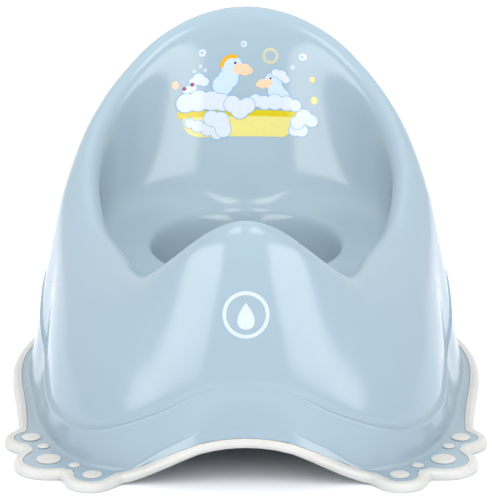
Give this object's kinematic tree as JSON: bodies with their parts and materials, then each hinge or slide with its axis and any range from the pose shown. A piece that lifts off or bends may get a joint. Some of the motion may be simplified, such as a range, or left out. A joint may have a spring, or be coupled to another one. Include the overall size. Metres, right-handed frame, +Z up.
{
  "type": "potty training chair",
  "caption": "One-piece child's potty chair with tall curved backrest, pointed splash guard, hanging oval bowl and a scalloped foot edged with a soft non-slip strip and studs.",
  "frame": {"origin": "on the floor, under the middle of the object's box; z = 0 is the underside of the soft strip and studs", "axes": "+Z up, -Y the front (the side of the splash guard), +X the seated child's left; the object is symmetric about the YZ plane"},
  "size_m": [0.3324, 0.3762, 0.248],
  "materials": {
    "shell_plastic": "glossy injection-moulded polypropylene, light grey-blue",
    "soft_edge": "satin off-white thermoplastic elastomer",
    "soft_stud": "satin off-white thermoplastic elastomer",
    "print_film": "glossy transfer print, yellow tub with white foam",
    "badge_film": "glossy white transfer print"
  },
  "bodies": {
    "root": {"potty_shell": "shell_plastic", "edge_strip": "soft_edge", "front_left_stud_1": "soft_stud", "front_left_stud_2": "soft_stud", "front_left_stud_3": "soft_stud", "front_left_stud_4": "soft_stud", "front_left_stud_5": "soft_stud", "front_right_stud_1": "soft_stud", "front_right_stud_2": "soft_stud", "front_right_stud_3": "soft_stud", "front_right_stud_4": "soft_stud", "front_right_stud_5": "soft_stud", "rear_left_stud_1": "soft_stud", "rear_left_stud_2": "soft_stud", "rear_left_stud_3": "soft_stud", "rear_left_stud_4": "soft_stud", "rear_left_stud_5": "soft_stud", "rear_right_stud_1": "soft_stud", "rear_right_stud_2": "soft_stud", "rear_right_stud_3": "soft_stud", "rear_right_stud_4": "soft_stud", "rear_right_stud_5": "soft_stud", "backrest_print": "print_film", "front_badge": "badge_film"}
  },
  "joints": []
}
